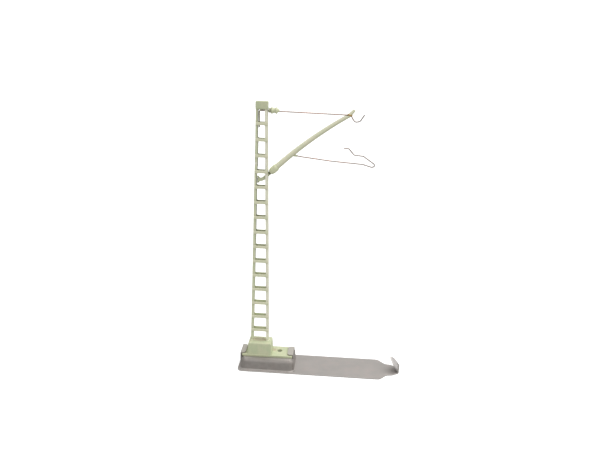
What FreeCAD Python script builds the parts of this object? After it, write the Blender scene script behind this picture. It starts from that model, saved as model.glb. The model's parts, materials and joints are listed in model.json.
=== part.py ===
import FreeCAD, Part
import math
import os
import Sketcher

# A bracket mast for a model railway's overhead line, in millimetres. +X runs along the tongue,
# away from the mast, +Y is the way the track runs and +Z is up. The origin lies on the underside
# of the tongue at the track's centre line; everything below is laid out from the mast's own
# axis, and each sub-part's Placement then moves it back by track_offset.

DIMENSIONS = {
    # the mast's axis to the track's centre line
    "track_offset": 34.5,
    # pressed steel base: flange, pan, tongue and folded hook
    "steel_thickness": 0.5,
    "flange_left_reach": 8.1,
    "flange_half_width": 7.3,
    "flange_corner_radius": 2.0,
    "shoulder_reach": 48.0,
    "neck_reach": 50.85,
    "neck_half_width": 4.12,
    "shoulder_radius": 2.3,
    "neck_radius": 1.8,
    "taper_reach": 53.2,
    "taper_half_width": 3.75,
    "taper_radius": 2.5,
    "tongue_end_reach": 55.05,
    "hook_reach": 57.1,
    "hook_half_width": 2.6,
    "hook_height": 6.15,
    "hook_lean": 35.0,
    "hook_twist": 9.0,
    "hook_tip_half_width": 2.35,
    "hook_tip_drop": 1.9,
    "hook_nose_half_width": 0.45,
    "hook_shoulder_radius": 2.2,
    "hook_nose_radius": 0.6,
    "hook_bend_radius": 0.45,
    "pan_left_reach": 7.2,
    "pan_right_reach": 14.35,
    "pan_half_width": 6.35,
    "pan_height": 5.0,
    "pan_draft": 4.5,
    "pan_corner_radius": 2.2,
    "pan_rim_radius": 1.5,
    "pan_root_radius": 0.5,
    "sheared_edge_radius": 0.12,
    # tabs clinched over the ends of the foot plate
    "tab_half_width": 3.3,
    "tab_root_height": 2.6,
    "left_tab_gap": 0.22,
    "right_tab_gap": 0.05,
    "left_tab_cover": 1.35,
    "right_tab_cover": 1.9,
    "tab_corner_radius": 0.95,
    "tab_fold_radius": 0.45,
    # cast foot: plate and pedestal
    "plate_left_reach": 6.68,
    "plate_right_reach": 13.3,
    "plate_half_width": 3.88,
    "plate_thickness": 0.8,
    "plate_edge_radius": 0.15,
    "plate_corner_radius": 0.3,
    "screw_radius": 1.05,
    "screw_reach": 8.0,
    "screw_offset": 0.5,
    "pedestal_height": 4.85,
    "pedestal_foot_length": 9.6,
    "pedestal_foot_width": 6.6,
    "pedestal_draft": 3.2,
    "pedestal_shift": 0.25,
    "pedestal_edge_radius": 0.45,
    "pedestal_rim_radius": 0.5,
    # lattice mast
    "post_foot_half": 3.55,
    "post_head_half": 2.1,
    "post_width": 0.8,
    "post_depth": 1.9,
    "slot_half_width": 0.65,
    "mast_head_height": 101.63,
    "batten_first_height": 14.7,
    "batten_pitch": 5.8,
    "batten_height": 1.1,
    "batten_thickness": 0.25,
    "batten_end_inset": 0.06,
    "cap_half_width": 2.2,
    "cap_depth": 2.7,
    "cap_height": 2.65,
    "cap_edge_radius": 0.25,
    "spigot_height": 0.34,
    "spigot_clearance": 0.03,
    "spigot_inset": 0.3,
    # pivots of the bracket, on one upright axis beside the left post
    "pivot_reach": 0.95,
    "running_clearance": 0.05,
    "bush_height": 0.8,
    "bush_half_length": 0.62,
    "bush_half_width": 0.6,
    "staple_wire_radius": 0.25,
    "staple_low_height": 75.0,
    "staple_high_height": 77.1,
    "staple_bend_radius": 0.3,
    "slot_low_height": 76.15,
    "slot_high_height": 79.3,
    "tie_slot_half_height": 0.45,
    # tail of the arm, inside the mast
    "eye_radius": 0.6,
    "tail_height": 76.05,
    "tail_section": 1.25,
    "tail_thickness": 0.75,
    "tail_bend_radius": 2.4,
    "tail_edge_radius": 0.25,
    # arm, from the insulator's outer end to its tip
    "insulator_start_reach": 3.3,
    "insulator_start_height": 78.77,
    "root_angle": 43.5,
    "insulator_length": 3.6,
    "insulator_belly_radius": 1.32,
    "insulator_end_radius": 1.02,
    "insulator_chamfer": 0.2,
    "insulator_inner_round": 1.5,
    "insulator_outer_round": 0.8,
    "arm_end_reach": 31.0,
    "arm_end_height": 100.29,
    "arm_root_radius": 1.04,
    "arm_end_radius": 0.7,
    "arm_tip_length": 2.3,
    "arm_tip_angle": 48.0,
    "arm_tip_radius": 0.52,
    "solder_start_reach": 28.2,
    "solder_groove_length": 6.0,
    "solder_groove_depth": 0.97,
    # tie wire, its insulator and the hook for the messenger wire
    "wire_radius": 0.225,
    "wire_bend_radius": 0.6,
    "tie_end_height": 95.0,
    "tie_height": 101.0,
    "tie_hook_reach": 31.55,
    "tie_hook_height": 100.42,
    "tie_hook_bend_radius": 0.35,
    "messenger_hook_depth": 2.45,
    "messenger_hook_width": 4.8,
    "messenger_hook_near_radius": 1.3,
    "messenger_hook_far_radius": 1.1,
    "tie_insulator_reach": 2.35,
    "tie_insulator_length": 3.7,
    "tie_core_radius": 0.74,
    "tie_collar_radius": 0.72,
    "tie_collar_edge": 0.1,
    "tie_shed_radius": 1.02,
    "tie_shed_width": 0.85,
    "tie_shed_bevel": 0.12,
    "tie_shed_shoulder": 0.25,
    # steady wire under the arm, with the seat for the contact wire
    "socket_reach": 11.0,
    "socket_height": 85.54,
    "socket_length": 1.95,
    "socket_big_radius": 0.5,
    "socket_small_radius": 0.34,
    "socket_angle": 8.5,
    "socket_depth_share": 0.6,
    "steady_lead_length": 2.4,
    "steady_lead_radius": 12.0,
    "steady_sag_reach": 25.3,
    "steady_sag_height": 83.85,
    "steady_sag_radius": 60.0,
    "steady_knee_reach": 36.7,
    "steady_knee_height": 83.1,
    "steady_knee_radius": 4.0,
    "return_low_reach": 40.0,
    "return_low_height": 82.17,
    "return_tip_reach": 41.05,
    "return_tip_height": 82.5,
    "return_tip_radius": 0.5,
    "return_rise_reach": 40.75,
    "return_rise_height": 83.4,
    "seat_outer_reach": 36.75,
    "seat_outer_height": 86.07,
    "seat_outer_radius": 1.2,
    "seat_reach": 33.45,
    "seat_height": 86.35,
    "seat_radius": 0.8,
    "free_bend_reach": 31.45,
    "free_bend_height": 88.62,
    "free_bend_radius": 0.7,
    "free_end_reach": 29.7,
    "free_end_height": 88.6,
}

BATTEN_COUNT = 15
ARM_SECTIONS = 6

doc = FreeCAD.newDocument("bracket_mast")
sheet = doc.addObject("Spreadsheet::Sheet", "Dimensions")
for row, (alias, number) in enumerate(DIMENSIONS.items(), start=1):
    sheet.set("A%d" % row, alias)
    sheet.set("B%d" % row, str(number))
    sheet.setAlias("B%d" % row, alias)
doc.recompute()


class Size:
    """A number together with the spreadsheet expression that gives it."""

    def __init__(self, value, text):
        self.value = value
        self.text = text

    def __add__(self, other):
        other = size(other)
        return Size(self.value + other.value, "(%s + %s)" % (self.text, other.text))

    def __sub__(self, other):
        other = size(other)
        return Size(self.value - other.value, "(%s - %s)" % (self.text, other.text))

    def __mul__(self, other):
        other = size(other)
        return Size(self.value * other.value, "(%s * %s)" % (self.text, other.text))

    def __truediv__(self, other):
        other = size(other)
        return Size(self.value / other.value, "(%s / %s)" % (self.text, other.text))

    def __neg__(self):
        return Size(-self.value, "(0 - %s)" % self.text)

    def __radd__(self, other):
        return size(other) + self

    def __rsub__(self, other):
        return size(other) - self

    def __rmul__(self, other):
        return size(other) * self


def size(item):
    """The Size of a cell's name, of a plain number, or of a Size."""
    if isinstance(item, Size):
        return item
    if isinstance(item, str):
        return Size(float(sheet.get(item)), "Dimensions.%s" % item)
    return Size(float(item), "%.6f" % item)


def sine(angle):
    return Size(math.sin(math.radians(angle.value)), "sin(%s)" % angle.text)


def cosine(angle):
    return Size(math.cos(math.radians(angle.value)), "cos(%s)" % angle.text)


def tangent(angle):
    return Size(math.tan(math.radians(angle.value)), "tan(%s)" % angle.text)


def bind(owner, path, item):
    """Set a property from an expression over the sheet."""
    owner.setExpression(path, size(item).text)


# ---------------------------------------------------------------- bodies, sketches, features

SUBPARTS = []


def finish_subpart(shape_owner, node):
    """Name a finished sub-part and move it from the mast's axis to the row's origin."""
    shape_owner.Label = node
    bind(shape_owner, "Placement.Base.x", -size("track_offset"))
    SUBPARTS.append(shape_owner)


def new_body(node):
    body = doc.addObject("PartDesign::Body", node + "_body")
    finish_subpart(body, node)
    return body


def origin_plane(body, role):
    return [item for item in body.Origin.OriginFeatures if item.Role == role][0]


def new_sketch(body, name, role="XY_Plane", offset=0):
    """A sketch on one of the body's own planes, moved along that plane's normal."""
    sketch = body.newObject("Sketcher::SketchObject", name)
    sketch.AttachmentSupport = [(origin_plane(body, role), "")]
    sketch.MapMode = "FlatFace"
    bind(sketch, "AttachmentOffset.Base.z", offset)
    return sketch


def pin_point(sketch, geometry, point, across, up):
    """Fix a sketch point by its two coordinates, each bound to the sheet."""
    for kind, axis_line, item in (("DistanceX", -2, across), ("DistanceY", -1, up)):
        item = size(item)
        if abs(item.value) < 1e-9:
            sketch.addConstraint(Sketcher.Constraint("PointOnObject", geometry, point, axis_line))
            continue
        ends = (-1, 1, geometry, point) if item.value > 0 else (geometry, point, -1, 1)
        index = sketch.addConstraint(Sketcher.Constraint(kind, *ends, abs(item.value)))
        bind(sketch, "Constraints[%d]" % index, item if item.value > 0 else -item)


def add_circle(sketch, across, up, radius):
    centre = FreeCAD.Vector(size(across).value, size(up).value, 0)
    circle = Part.Circle(centre, FreeCAD.Vector(0, 0, 1), size(radius).value)
    index = sketch.addGeometry(circle)
    pin_point(sketch, index, 3, across, up)
    radius_index = sketch.addConstraint(Sketcher.Constraint("Radius", index, size(radius).value))
    bind(sketch, "Constraints[%d]" % radius_index, radius)


def add_outline(sketch, corners, closed=True):
    """Straight runs through the corners; a corner with a radius is turned by a tangent arc.

    Each corner is (across, up) or (across, up, radius).
    """
    spots = [FreeCAD.Vector(size(c[0]).value, size(c[1]).value, 0) for c in corners]
    radii = [size(c[2]) if len(c) > 2 else None for c in corners]
    count = len(corners)
    run_count = count if closed else count - 1
    leave, arrive, arcs = {}, {}, {}
    for i in range(count):
        leave[i] = arrive[i] = spots[i]
        if radii[i] is None:
            continue
        back = (spots[i - 1] - spots[i]).normalize()
        ahead = (spots[(i + 1) % count] - spots[i]).normalize()
        half = back.getAngle(ahead) / 2
        reach = radii[i].value / math.tan(half)
        arrive[i] = spots[i] + back * reach
        leave[i] = spots[i] + ahead * reach
        middle = (back + ahead).normalize()
        centre = spots[i] + middle * (radii[i].value / math.sin(half))
        arcs[i] = Part.Arc(arrive[i], centre - middle * radii[i].value, leave[i])
    runs = {}
    for i in range(run_count):
        line = Part.LineSegment(leave[i], arrive[(i + 1) % count])
        runs[i] = sketch.addGeometry(line)
    for i in range(count):
        before = runs.get((i - 1) % count if closed else i - 1)
        after = runs.get(i)
        if radii[i] is None:
            if before is not None and after is not None:
                sketch.addConstraint(Sketcher.Constraint("Coincident", before, 2, after, 1))
            owner, point = (after, 1) if after is not None else (before, 2)
            pin_point(sketch, owner, point, corners[i][0], corners[i][1])
            continue
        arc = sketch.addGeometry(arcs[i])
        start_first = sketch.getPoint(arc, 1).distanceToPoint(arrive[i]) < 1e-6
        near, far = (1, 2) if start_first else (2, 1)
        sketch.addConstraint(Sketcher.Constraint("Tangent", before, 2, arc, near))
        sketch.addConstraint(Sketcher.Constraint("Tangent", arc, far, after, 1))
        index = sketch.addConstraint(Sketcher.Constraint("Radius", arc, radii[i].value))
        bind(sketch, "Constraints[%d]" % index, radii[i])
        apex = sketch.addGeometry(Part.Point(spots[i]), True)
        pin_point(sketch, apex, 1, corners[i][0], corners[i][1])
        sketch.addConstraint(Sketcher.Constraint("PointOnObject", apex, 1, before))
        sketch.addConstraint(Sketcher.Constraint("PointOnObject", apex, 1, after))


def add_rectangle(sketch, low_across, high_across, low_up, high_up, radius=None):
    corners = [(low_across, low_up), (high_across, low_up),
               (high_across, high_up), (low_across, high_up)]
    if radius is not None:
        corners = [corner + (radius,) for corner in corners]
    add_outline(sketch, corners)


def add_pad(body, sketch, name, length, draft=None, both_ways=False, downward=False):
    pad = body.newObject("PartDesign::Pad", name)
    pad.Profile = sketch
    bind(pad, "Length", length)
    pad.SideType = "Symmetric" if both_ways else "One side"
    pad.Reversed = downward
    if draft is not None:
        bind(pad, "TaperAngle", draft)
    sketch.Visibility = False
    return pad


def add_pocket(body, sketch, name, length, draft=None, both_ways=False, reverse=False):
    """A pocket that must take material away."""
    doc.recompute()
    before = body.Shape.Volume
    pocket = body.newObject("PartDesign::Pocket", name)
    pocket.Profile = sketch
    bind(pocket, "Length", length)
    pocket.SideType = "Symmetric" if both_ways else "One side"
    pocket.Reversed = reverse
    if draft is not None:
        bind(pocket, "TaperAngle", draft)
    doc.recompute()
    if body.Shape.Volume > before - 1e-4:
        raise RuntimeError("%s cuts nothing" % name)
    return pocket


def add_fillet(body, name, radius, wanted):
    """Round every edge of the body for which wanted(edge) is true."""
    doc.recompute()
    base = body.Tip
    names = ["Edge%d" % (i + 1) for i, edge in enumerate(base.Shape.Edges) if wanted(edge)]
    if not names:
        raise RuntimeError("%s finds no edge" % name)
    fillet = body.newObject("PartDesign::Fillet", name)
    fillet.Base = (base, names)
    bind(fillet, "Radius", radius)
    return fillet


def add_pipe(body, name, route, profile_radius):
    """A round bar swept along a route sketch, from the start of the route's first run."""
    profile = body.newObject("Sketcher::SketchObject", name + "_profile")
    profile.AttachmentSupport = [(route, "Edge1")]
    profile.MapMode = "NormalToEdge"
    add_circle(profile, 0, 0, profile_radius)
    pipe = body.newObject("PartDesign::AdditivePipe", name)
    pipe.Profile = profile
    pipe.Spine = (route, [])


def middle_of(edge):
    return edge.valueAt((edge.FirstParameter + edge.LastParameter) / 2)


def runs_up(edge, share=0.9):
    """True of an edge that mostly rises."""
    ends = [vertex.Point for vertex in edge.Vertexes]
    if len(ends) < 2:
        return False
    rise = ends[1] - ends[0]
    return rise.Length > 1e-6 and abs(rise.z) / rise.Length > share


def level_at(edge, height):
    """True of an edge that lies level at the given height."""
    box = edge.BoundBox
    return abs(box.ZMin - height) < 1e-4 and abs(box.ZMax - height) < 1e-4


# ---------------------------------------------------------------- shared places

steel = size("steel_thickness")
plate_top = size("pan_height") + "plate_thickness"
pedestal_top = plate_top + "pedestal_height"
post_rise = size("mast_head_height") - pedestal_top
post_slope = (size("post_foot_half") - "post_head_half") / post_rise
mast_half_depth = size("post_depth") / 2


def post_half(height):
    """Half the mast's width over its posts at a height."""
    return size("post_foot_half") - post_slope * (size(height) - pedestal_top)


# ---------------------------------------------------------------- pressed steel base

def make_base_plate():
    body = new_body("base_plate")
    outer = size("flange_half_width")
    corner = size("flange_corner_radius")
    bend = size("shoulder_radius")
    blank = new_sketch(body, "blank_outline")
    half = [(-size("flange_left_reach"), outer, corner),
            (size("shoulder_reach"), outer, bend),
            (size("neck_reach"), size("neck_half_width"), size("neck_radius")),
            (size("taper_reach"), size("taper_half_width"), size("taper_radius")),
            (size("tongue_end_reach"), size("hook_half_width"))]
    mirrored = [(c[0], -c[1]) + c[2:] for c in reversed(half)]
    add_outline(blank, half + mirrored)
    add_pad(body, blank, "blank", steel)
    end_x = size("tongue_end_reach").value
    add_fillet(body, "sheared_edge", "sheared_edge_radius",
               lambda edge: level_at(edge, steel.value) and edge.BoundBox.XMin < end_x - 1e-3)

    pan = new_sketch(body, "pan_outline")
    pan_half = size("pan_half_width")
    add_rectangle(pan, -size("pan_left_reach"), size("pan_right_reach"), -pan_half, pan_half,
                  size("pan_corner_radius"))
    add_pad(body, pan, "pan_block", "pan_height", draft=-size("pan_draft"))
    add_fillet(body, "pan_rim", "pan_rim_radius",
               lambda edge: level_at(edge, size("pan_height").value))
    pan_box = (-size("pan_left_reach").value, size("pan_right_reach").value, pan_half.value)
    add_fillet(body, "pan_root", "pan_root_radius",
               lambda edge: level_at(edge, steel.value) and edge.BoundBox.XMin > pan_box[0] - 1e-3
               and edge.BoundBox.XMax < pan_box[1] + 1e-3
               and edge.BoundBox.YMax < pan_box[2] + 1e-3)

    hollow = new_sketch(body, "hollow_outline")
    inner = pan_half - steel
    add_rectangle(hollow, steel - "pan_left_reach", size("pan_right_reach") - steel,
                  -inner, inner, size("pan_corner_radius") - steel)
    add_pocket(body, hollow, "hollow", size("pan_height") - steel,
               draft=-size("pan_draft"), reverse=True)
    add_fillet(body, "hollow_rim", size("pan_rim_radius") - steel,
               lambda edge: level_at(edge, (size("pan_height") - steel).value))

    # strips that rise beside the pan's ends and fold over the foot plate
    fold_top = plate_top + steel
    for side, sign in (("left", -1), ("right", 1)):
        reach = size("plate_%s_reach" % side)
        gap_face = reach + "%s_tab_gap" % side
        over = reach - "%s_tab_cover" % side
        strip = new_sketch(body, side + "_tab_section", "XZ_Plane")
        section = [(gap_face + steel, "tab_root_height"), (gap_face + steel, fold_top),
                   (over, fold_top), (over, plate_top),
                   (gap_face, plate_top), (gap_face, "tab_root_height")]
        add_outline(strip, [(size(c[0]) * sign, c[1]) for c in section])
        add_pad(body, strip, side + "_tab", size("tab_half_width") * 2, both_ways=True)
    inner_ends = [(-size("plate_left_reach") + "left_tab_cover").value,
                  (size("plate_right_reach") - "right_tab_cover").value]
    add_fillet(body, "tab_corners", "tab_corner_radius",
               lambda edge: runs_up(edge) and edge.BoundBox.ZMin > plate_top.value - 1e-3
               and min(abs(edge.BoundBox.XMin - x) for x in inner_ends) < 1e-3)
    outer_ends = [-(size("plate_left_reach") + "left_tab_gap" + steel).value,
                  (size("plate_right_reach") + "right_tab_gap" + steel).value]
    add_fillet(body, "tab_folds", "tab_fold_radius",
               lambda edge: level_at(edge, fold_top.value)
               and edge.BoundBox.XLength < 1e-3
               and min(abs(edge.BoundBox.XMin - x) for x in outer_ends) < 1e-3)

    screw = new_sketch(body, "screw_hole_outline")
    add_circle(screw, "screw_reach", "screw_offset", "screw_radius")
    add_pocket(body, screw, "screw_hole", "pan_height", reverse=True)

    # the tongue's end, folded up and leaning back over the neck
    section = new_sketch(body, "hook_section", "XZ_Plane")
    lean = tangent(size("hook_lean"))
    top = size("hook_height")
    slant = steel / cosine(size("hook_lean"))
    outer_x = size("hook_reach")
    twist = size("hook_twist")
    start_x = size("tongue_end_reach") - steel / 10 - size("hook_half_width") * tangent(twist)
    radius = size("hook_bend_radius")
    add_outline(section, [
        (start_x, 0),
        (outer_x, 0, radius + steel),
        (outer_x - lean * top, top),
        (outer_x - lean * top - slant, top),
        (outer_x - slant - lean * steel, steel, radius),
        (start_x, steel)])
    blade = add_pad(body, section, "hook", size("hook_half_width") * 2, both_ways=True)
    blade.UseCustomVector = True
    blade.AlongSketchNormal = True
    bind(blade, "Direction.x", sine(twist))
    bind(blade, "Direction.y", cosine(twist))
    bind(blade, "Direction.z", 0)
    trim = new_sketch(body, "hook_trim", "YZ_Plane", outer_x + steel * 2)
    tip = size("hook_tip_half_width")
    start = size("hook_half_width")
    nose = size("hook_nose_half_width")
    shoulder = size("hook_shoulder_radius")
    nose_round = size("hook_nose_radius")
    side_height = top - "hook_tip_drop"
    far = start * 2
    over = top * 1.2
    add_outline(trim, [
        (-start, steel), (-tip, side_height, shoulder), (-nose, top, nose_round),
        (nose, top, nose_round), (tip, side_height, shoulder), (start, steel),
        (far, steel), (far, over), (-far, over), (-far, steel)])
    add_pocket(body, trim, "hook_outline", lean * top + steel * 8)


# ---------------------------------------------------------------- cast foot

def make_foot_casting():
    body = new_body("foot_casting")
    plate = new_sketch(body, "plate_outline", offset="pan_height")
    add_rectangle(plate, -size("plate_left_reach"), "plate_right_reach",
                  -size("plate_half_width"), "plate_half_width", "plate_corner_radius")
    add_pad(body, plate, "plate", "plate_thickness")
    add_fillet(body, "plate_edge", "plate_edge_radius",
               lambda edge: level_at(edge, plate_top.value))

    block = new_sketch(body, "pedestal_outline", offset=plate_top)
    half_length = size("pedestal_foot_length") / 2
    shift = size("pedestal_shift")
    front = -size("plate_half_width") + "plate_edge_radius"
    add_rectangle(block, shift - half_length, shift + half_length,
                  front, front + "pedestal_foot_width", "pedestal_edge_radius")
    add_pad(body, block, "pedestal", "pedestal_height", draft=-size("pedestal_draft"))
    add_fillet(body, "pedestal_rim", "pedestal_rim_radius",
               lambda edge: level_at(edge, pedestal_top.value))

    screw = new_sketch(body, "screw_hole_outline", offset="pan_height")
    add_circle(screw, "screw_reach", "screw_offset", "screw_radius")
    add_pocket(body, screw, "screw_hole", "plate_thickness", reverse=True)


# ---------------------------------------------------------------- lattice mast

def make_post(node, sign, slots):
    """A flat bar set edge-on to the front; it leans in towards the head."""
    body = new_body(node)
    profile = new_sketch(body, "bar_section", offset=pedestal_top)
    faces = sorted([size("post_foot_half") * sign,
                    (size("post_foot_half") - "post_width") * sign], key=lambda face: face.value)
    add_rectangle(profile, faces[0], faces[1], -mast_half_depth, mast_half_depth)
    pad = add_pad(body, profile, "bar", post_rise)
    pad.UseCustomVector = True
    pad.AlongSketchNormal = True
    bind(pad, "Direction.x", -post_slope * sign)
    bind(pad, "Direction.y", 0)
    bind(pad, "Direction.z", 1)
    for name, low, high in slots:
        window = new_sketch(body, name, "YZ_Plane")
        add_rectangle(window, -size("slot_half_width"), "slot_half_width", low, high)
        add_pocket(body, window, name + "_cut", "post_foot_half", reverse=True)


def make_batten(number, side, sign):
    """A flat strip across both posts; the lowest is number 1."""
    strip = doc.addObject("Part::Box", "%s_batten_%02d_strip" % (side, number))
    height = size("batten_first_height") + size("batten_pitch") * (number - 1)
    half = post_half(height + size("batten_height") / 2) - "batten_end_inset"
    inner_face = mast_half_depth if sign > 0 else -mast_half_depth - "batten_thickness"
    bind(strip, "Length", half * 2)
    bind(strip, "Width", "batten_thickness")
    bind(strip, "Height", "batten_height")
    bind(strip, "Placement.Base.y", inner_face)
    bind(strip, "Placement.Base.z", height)
    strip.Label = "%s_batten_%02d" % (side, number)
    bind(strip, "Placement.Base.x", -half - "track_offset")
    SUBPARTS.append(strip)


def make_head_cap():
    """The block on the mast's head, with a spigot that sits between the two posts."""
    body = new_body("head_cap")
    outline = new_sketch(body, "cap_outline", offset="mast_head_height")
    depth = size("cap_depth") / 2
    add_rectangle(outline, -size("cap_half_width"), "cap_half_width", -depth, depth,
                  "cap_edge_radius")
    add_pad(body, outline, "cap", "cap_height")
    cap_top = size("mast_head_height") + "cap_height"
    add_fillet(body, "cap_edge", "cap_edge_radius", lambda edge: level_at(edge, cap_top.value))
    spigot = new_sketch(body, "spigot_outline", offset="mast_head_height")
    side_face = size("post_head_half") - "post_width" - "spigot_clearance"
    front_face = mast_half_depth - "spigot_inset"
    add_rectangle(spigot, -side_face, side_face, -front_face, front_face)
    add_pad(body, spigot, "spigot", "spigot_height", downward=True)


# ---------------------------------------------------------------- the bracket's two pivots

def make_upper_pivot_bush():
    """A block soldered to the left post's inner side, bored for the end of the tie wire."""
    body = new_body("upper_pivot_bush")
    low = size("batten_first_height") + size("batten_pitch") * (BATTEN_COUNT - 1)
    post_face = post_half(low + "bush_height") - "post_width"
    half_width = size("bush_half_width")
    outline = new_sketch(body, "bush_outline", offset=low)
    add_rectangle(outline, -post_face, -size("pivot_reach") + "bush_half_length",
                  -half_width, half_width)
    add_pad(body, outline, "bush", "bush_height")
    bore = new_sketch(body, "bore_outline", offset=low)
    add_circle(bore, -size("pivot_reach"), 0, size("wire_radius") + "running_clearance")
    add_pocket(body, bore, "bore", "bush_height", reverse=True)


def make_lower_pivot_staple():
    """A wire staple fixed in the left post's inner side; its upright leg is the lower pivot."""
    body = new_body("lower_pivot_staple")
    low = size("staple_low_height")
    high = size("staple_high_height")
    bend = size("staple_bend_radius")
    low_root = size("post_width") - post_half(low)
    high_root = size("post_width") - post_half(high)
    route = new_sketch(body, "staple_route", "XZ_Plane")
    add_outline(route, [(low_root, low), (-size("pivot_reach"), low, bend),
                        (-size("pivot_reach"), high, bend), (high_root, high)], closed=False)
    add_pipe(body, "staple", route, "staple_wire_radius")


# ---------------------------------------------------------------- bracket

def make_arm_tail():
    """The flat tail that passes through the right post, with the eye of the lower pivot."""
    body = new_body("arm_tail")
    half = size("tail_section") / 2
    level = size("tail_height")
    angle = size("root_angle")
    end_x = size("insulator_start_reach")
    end_z = size("insulator_start_height")
    corner_x = end_x - (end_z - level) / tangent(angle)
    shift = half * tangent(angle / 2)
    across = half * sine(angle)
    upward = half * cosine(angle)
    bend = size("tail_bend_radius")
    outline = new_sketch(body, "tail_outline", "XZ_Plane")
    add_outline(outline, [
        (-size("pivot_reach"), level - half), (corner_x + shift, level - half, bend + half),
        (end_x + across, end_z - upward), (end_x - across, end_z + upward),
        (corner_x - shift, level + half, bend - half), (-size("pivot_reach"), level + half)])
    add_pad(body, outline, "tail", "tail_thickness", both_ways=True)
    add_fillet(body, "tail_edges", "tail_edge_radius", lambda edge: edge.Length > 2
               and abs(abs(middle_of(edge).y) - size("tail_thickness").value / 2) < 1e-4)
    eye = new_sketch(body, "eye_outline", offset=level - half)
    add_circle(eye, -size("pivot_reach"), 0, "eye_radius")
    add_pad(body, eye, "eye", "tail_section")
    bore = new_sketch(body, "eye_bore_outline", offset=level - size("tail_section"))
    add_circle(bore, -size("pivot_reach"), 0, size("staple_wire_radius") + "running_clearance")
    add_pocket(body, bore, "eye_bore", size("tail_section") * 2, reverse=True)


def add_turned_bar(body, name, stations):
    """A solid of revolution about the body's own X axis, from (along, radius) stations."""
    profile = new_sketch(body, name + "_profile", "XZ_Plane")
    first, last = stations[0][0], stations[-1][0]
    add_outline(profile, [(first, 0)] + list(stations) + [(last, 0)])
    turn = body.newObject("PartDesign::Revolution", name)
    turn.Profile = profile
    turn.ReferenceAxis = (profile, ["H_Axis"])
    turn.Angle = 360
    return turn


def place_along(body, across, up, angle):
    """Tilt a body about Y, so that its own X axis points up by the angle, and move it."""
    body.Placement = FreeCAD.Placement(
        FreeCAD.Vector(0, 0, 0), FreeCAD.Rotation(FreeCAD.Vector(0, -1, 0), size(angle).value))
    bind(body, "Placement.Rotation.Angle", angle)
    bind(body, "Placement.Base.x", size(across) - "track_offset")
    bind(body, "Placement.Base.z", up)


def make_arm_insulator():
    body = new_body("arm_insulator")
    length = size("insulator_length")
    end = size("insulator_end_radius")
    belly = size("insulator_belly_radius")
    chamfer = size("insulator_chamfer")
    add_turned_bar(body, "barrel", [
        (0, end - chamfer), (chamfer, end), (length * 0.3, belly, "insulator_inner_round"),
        (length * 0.75, belly, "insulator_outer_round"), (length, end)])
    place_along(body, "insulator_start_reach", "insulator_start_height", "root_angle")


def arm_centre_line():
    """Places and directions of the arm's sections, on an arc that leaves the insulator straight."""
    angle = size("root_angle")
    root_x = (size("insulator_start_reach") + size("insulator_length") * cosine(angle)).value
    root_z = (size("insulator_start_height") + size("insulator_length") * sine(angle)).value
    rise = size("arm_end_height").value - root_z
    run = size("arm_end_reach").value - root_x
    start_turn = math.radians(angle.value)
    sweep = 2 * (start_turn - math.atan2(rise, run))
    radius = math.hypot(run, rise) / (2 * math.sin(sweep / 2))
    centre_x = root_x + radius * math.sin(start_turn)
    centre_z = root_z - radius * math.cos(start_turn)
    sections = []
    for i in range(ARM_SECTIONS):
        share = i / (ARM_SECTIONS - 1)
        turn = start_turn - sweep * share
        sections.append((centre_x - radius * math.sin(turn), centre_z + radius * math.cos(turn),
                         turn, share))
    return sections


def make_arm_bar():
    """The arm's solid: a tapered round bar along the arc, with a kinked, round-ended tip."""
    circles = []
    root = size("arm_root_radius")
    taper = root - "arm_end_radius"
    sections = arm_centre_line()
    for i, (x, z, turn, share) in enumerate(sections):
        circle = doc.addObject("Part::Circle", "arm_section_%d" % (i + 1))
        circle.Placement = FreeCAD.Placement(
            FreeCAD.Vector(x, 0, z),
            FreeCAD.Rotation(FreeCAD.Vector(0, 1, 0), 90 - math.degrees(turn)))
        bind(circle, "Radius", root - taper * share)
        circles.append(circle)
    loft = doc.addObject("Part::Loft", "arm_taper")
    loft.Sections = circles
    loft.Solid = True
    loft.Ruled = False
    end_x, end_z = sections[-1][0], sections[-1][1]
    tip_turn = size("arm_tip_angle").value
    length = size("arm_tip_length").value
    tip = make_bar("arm_tip", "cone", ("arm_end_radius", "arm_tip_radius"), "arm_tip_length",
                   end_x, end_z, tip_turn)
    knee = make_ball("arm_knee", "arm_end_radius", end_x, end_z)
    nose = make_ball("arm_nose", "arm_tip_radius",
                     end_x + length * math.cos(math.radians(tip_turn)),
                     end_z + length * math.sin(math.radians(tip_turn)))
    bar = doc.addObject("Part::MultiFuse", "arm_bar")
    bar.Shapes = [loft, tip, knee, nose]
    return bar


def make_ball(name, radius, x, z):
    ball = doc.addObject("Part::Sphere", name)
    bind(ball, "Radius", radius)
    ball.Placement.Base = FreeCAD.Vector(x, 0, z)
    return ball


def tie_direction():
    """Downward slope of the tie wire's long run, in degrees."""
    drop = size("tie_height").value - size("tie_hook_height").value
    return math.degrees(math.atan2(drop, size("tie_hook_reach").value))


def tie_level(reach):
    """Height of the tie wire's axis above a point of its long run."""
    drop = size("tie_height") - "tie_hook_height"
    return size("tie_height") - drop * reach / "tie_hook_reach"


def make_bar(name, kind, radius, length, x, z, angle):
    """A round or square tool along a line that points up by the angle, in degrees."""
    if kind == "round":
        tool = doc.addObject("Part::Cylinder", name)
        bind(tool, "Radius", radius)
        bind(tool, "Height", length)
    else:
        tool = doc.addObject("Part::Cone", name)
        bind(tool, "Radius1", radius[0])
        bind(tool, "Radius2", radius[1])
        bind(tool, "Height", length)
    tool.Placement = FreeCAD.Placement(
        FreeCAD.Vector(x, 0, z), FreeCAD.Rotation(FreeCAD.Vector(0, 1, 0), 90 - angle))
    return tool


def combine(kind, name, base, tool):
    joined = doc.addObject("Part::" + kind, name)
    joined.Base = base
    joined.Tool = tool
    return joined


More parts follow.
